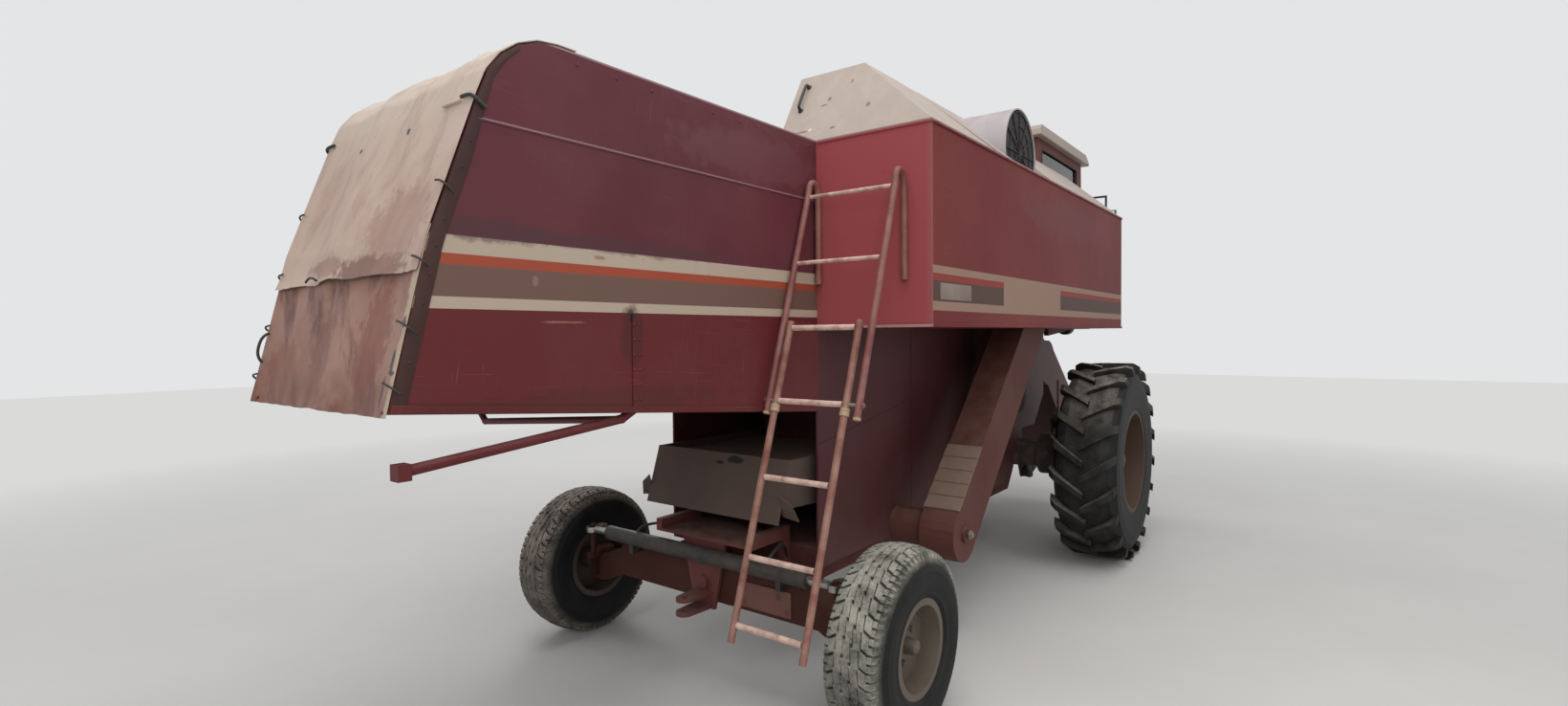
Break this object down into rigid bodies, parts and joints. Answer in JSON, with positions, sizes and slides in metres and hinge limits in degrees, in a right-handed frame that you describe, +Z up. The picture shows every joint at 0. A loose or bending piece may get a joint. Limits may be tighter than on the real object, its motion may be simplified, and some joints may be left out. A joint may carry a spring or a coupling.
{
  "type": "combine harvester",
  "caption": "Self-propelled grain combine harvester without its header, with straw hood, grain tank, cab, feeder house, ladder, unloading auger and four wheels.",
  "frame": {"origin": "on the ground, in the middle of the machine's length and width", "axes": "+X forwards towards the feeder house, +Y to the machine's left, +Z up"},
  "size_m": [7, 2.767, 3.53],
  "materials": {
    "frame_paint": "faded red paint with rust and dust",
    "body_red": "maroon red enamel on pressed sheet, dusty",
    "cover_cream": "cream enamel on sheet, dusty",
    "axle_iron": "painted cast iron under dust and grease",
    "engine_iron": "plain block",
    "rusty_steel": "burnt paint and rust",
    "duct_zinc": "pale grey paint, dusty",
    "screen_mesh": "dark perforated sheet",
    "curtain_fabric": "rubberised canvas, faded and stained",
    "worn_steel": "worn bare sheet with dust",
    "dusty_steel": "galvanised sheet under brown dust",
    "drive_iron": "cast pulleys with rubber belts",
    "ladder_paint": "faded pink-red paint on tube",
    "cab_glass": "tinted flat safety glass",
    "seat_vinyl": "black vinyl",
    "black_plastic": "black moulded plastic and paint",
    "lamp_glass": "lamp bowls and lenses",
    "axle_rust": "red-brown paint worn to rust",
    "cylinder_black": "black paint with oily dust",
    "rod_steel": "chromed rod",
    "tyre": "worn black rubber under dust",
    "rim_cream": "cream rim paint under dust"
  },
  "bodies": {
    "root": {"chassis_frame": "frame_paint", "front_axle": "axle_iron", "threshing_body": "body_red", "upper_body": "body_red", "tank_covers": "cover_cream", "engine_deck": "body_red", "engine_block": "engine_iron", "exhaust_pipe": "rusty_steel", "screen_duct": "duct_zinc", "straw_hood": "body_red", "rear_curtain": "curtain_fabric", "straw_walkers": "worn_steel", "sieve_box": "dusty_steel", "elevators": "frame_paint", "belt_drives": "drive_iron", "ladder_upper": "ladder_paint", "cab_frame": "body_red", "cab_roof": "cover_cream", "cab_glass": "cab_glass", "driver_seat": "seat_vinyl", "steering_column": "black_plastic", "cab_platform": "frame_paint", "lamps": "lamp_glass", "mirrors": "black_plastic", "rear_axle": "axle_rust", "steering_cylinder": "cylinder_black", "auger_turret": "body_red"},
    "drive_wheel_left": {"front_tyre_left": "tyre", "front_rim_left": "rim_cream"},
    "drive_wheel_right": {"front_tyre_right": "tyre", "front_rim_right": "rim_cream"},
    "steer_knuckle_left": {"knuckle_left": "axle_rust"},
    "steer_knuckle_right": {"knuckle_right": "axle_rust"},
    "steer_wheel_left": {"rear_tyre_left": "tyre", "rear_rim_left": "rim_cream"},
    "steer_wheel_right": {"rear_tyre_right": "tyre", "rear_rim_right": "rim_cream"},
    "steering_rod": {"tie_rod": "rod_steel"},
    "feeder": {"feeder_house": "body_red", "feeder_conveyor": "worn_steel"},
    "lift_barrel_pair": {"lift_barrels": "cylinder_black"},
    "lift_rod_pair": {"lift_rods": "rod_steel"},
    "unloader": {"unloading_auger": "body_red"},
    "cab_door_left": {"cab_door": "body_red", "door_glass": "cab_glass"},
    "hatch_lid": {"tank_lid": "cover_cream"},
    "ladder_foot": {"ladder_lower": "ladder_paint"},
    "screen_drum": {"rotary_screen": "screen_mesh"}
  },
  "joints": [
    {"name": "drive_wheel_left_spin", "type": "hinge", "parent": "root", "child": "drive_wheel_left", "pos_m": [1.86, 1.15, 0.775], "axis": [0, 1, 0], "continuous": true},
    {"name": "drive_wheel_right_spin", "type": "hinge", "parent": "root", "child": "drive_wheel_right", "pos_m": [1.86, -1.15, 0.775], "axis": [0, 1, 0], "continuous": true},
    {"name": "steer_left", "type": "hinge", "parent": "root", "child": "steer_knuckle_left", "pos_m": [-1.55, 0.905, 0.43], "axis": [0, 0, 1], "range_deg": [-35, 35]},
    {"name": "steer_right", "type": "hinge", "parent": "root", "child": "steer_knuckle_right", "pos_m": [-1.55, -0.905, 0.43], "axis": [0, 0, 1], "range_deg": [-35.1, 35.1]},
    {"name": "steer_wheel_left_spin", "type": "hinge", "parent": "steer_knuckle_left", "child": "steer_wheel_left", "pos_m": [-1.55, 1.075, 0.43], "axis": [0, 1, 0], "continuous": true},
    {"name": "steer_wheel_right_spin", "type": "hinge", "parent": "steer_knuckle_right", "child": "steer_wheel_right", "pos_m": [-1.55, -1.075, 0.43], "axis": [0, 1, 0], "continuous": true},
    {"name": "steering_rod_slide", "type": "slide", "parent": "root", "child": "steering_rod", "axis": [0, 1, 0], "range_m": [-0.081, 0.081]},
    {"name": "feeder_lift", "type": "hinge", "parent": "root", "child": "feeder", "pos_m": [2.48, 0, 1.52], "axis": [0, -1, 0], "range_deg": [-6, 20]},
    {"name": "lift_barrel_swing", "type": "hinge", "parent": "root", "child": "lift_barrel_pair", "pos_m": [2.05, 0, 0.56], "axis": [0, -1, 0], "range_deg": [-2, 6.5]},
    {"name": "lift_rod_slide", "type": "slide", "parent": "lift_barrel_pair", "child": "lift_rod_pair", "axis": [0.9621, 0, 0.2728], "range_m": [-0.083, 0.274]},
    {"name": "unloader_swing", "type": "hinge", "parent": "root", "child": "unloader", "pos_m": [1.45, 1.266, 2.84], "axis": [0, 0, -1], "range_deg": [0, 95]},
    {"name": "cab_door_swing", "type": "hinge", "parent": "root", "child": "cab_door_left", "pos_m": [2.203, 0.632, 2.6], "axis": [0, 0, 1], "range_deg": [0, 90]},
    {"name": "hatch_lid_swing", "type": "hinge", "parent": "root", "child": "hatch_lid", "pos_m": [1.05, 0.42, 3.214], "axis": [-1, 0, 0], "range_deg": [0, 100]},
    {"name": "ladder_fold", "type": "hinge", "parent": "root", "child": "ladder_foot", "pos_m": [-1.7801, -0.775, 1.5], "axis": [0, 1, 0], "range_deg": [0, 165]},
    {"name": "screen_spin", "type": "hinge", "parent": "root", "child": "screen_drum", "pos_m": [0, -1.09, 2.88], "axis": [0, 1, 0], "continuous": true}
  ],
  "couplings": [
    {"joint": "steer_right", "follows": "steer_left", "ratio": 1},
    {"joint": "steering_rod_slide", "follows": "steer_left", "m_per_rad": -0.1314},
    {"joint": "lift_barrel_swing", "follows": "feeder_lift", "ratio": 0.316},
    {"joint": "lift_rod_slide", "follows": "feeder_lift", "m_per_rad": 0.7792}
  ]
}
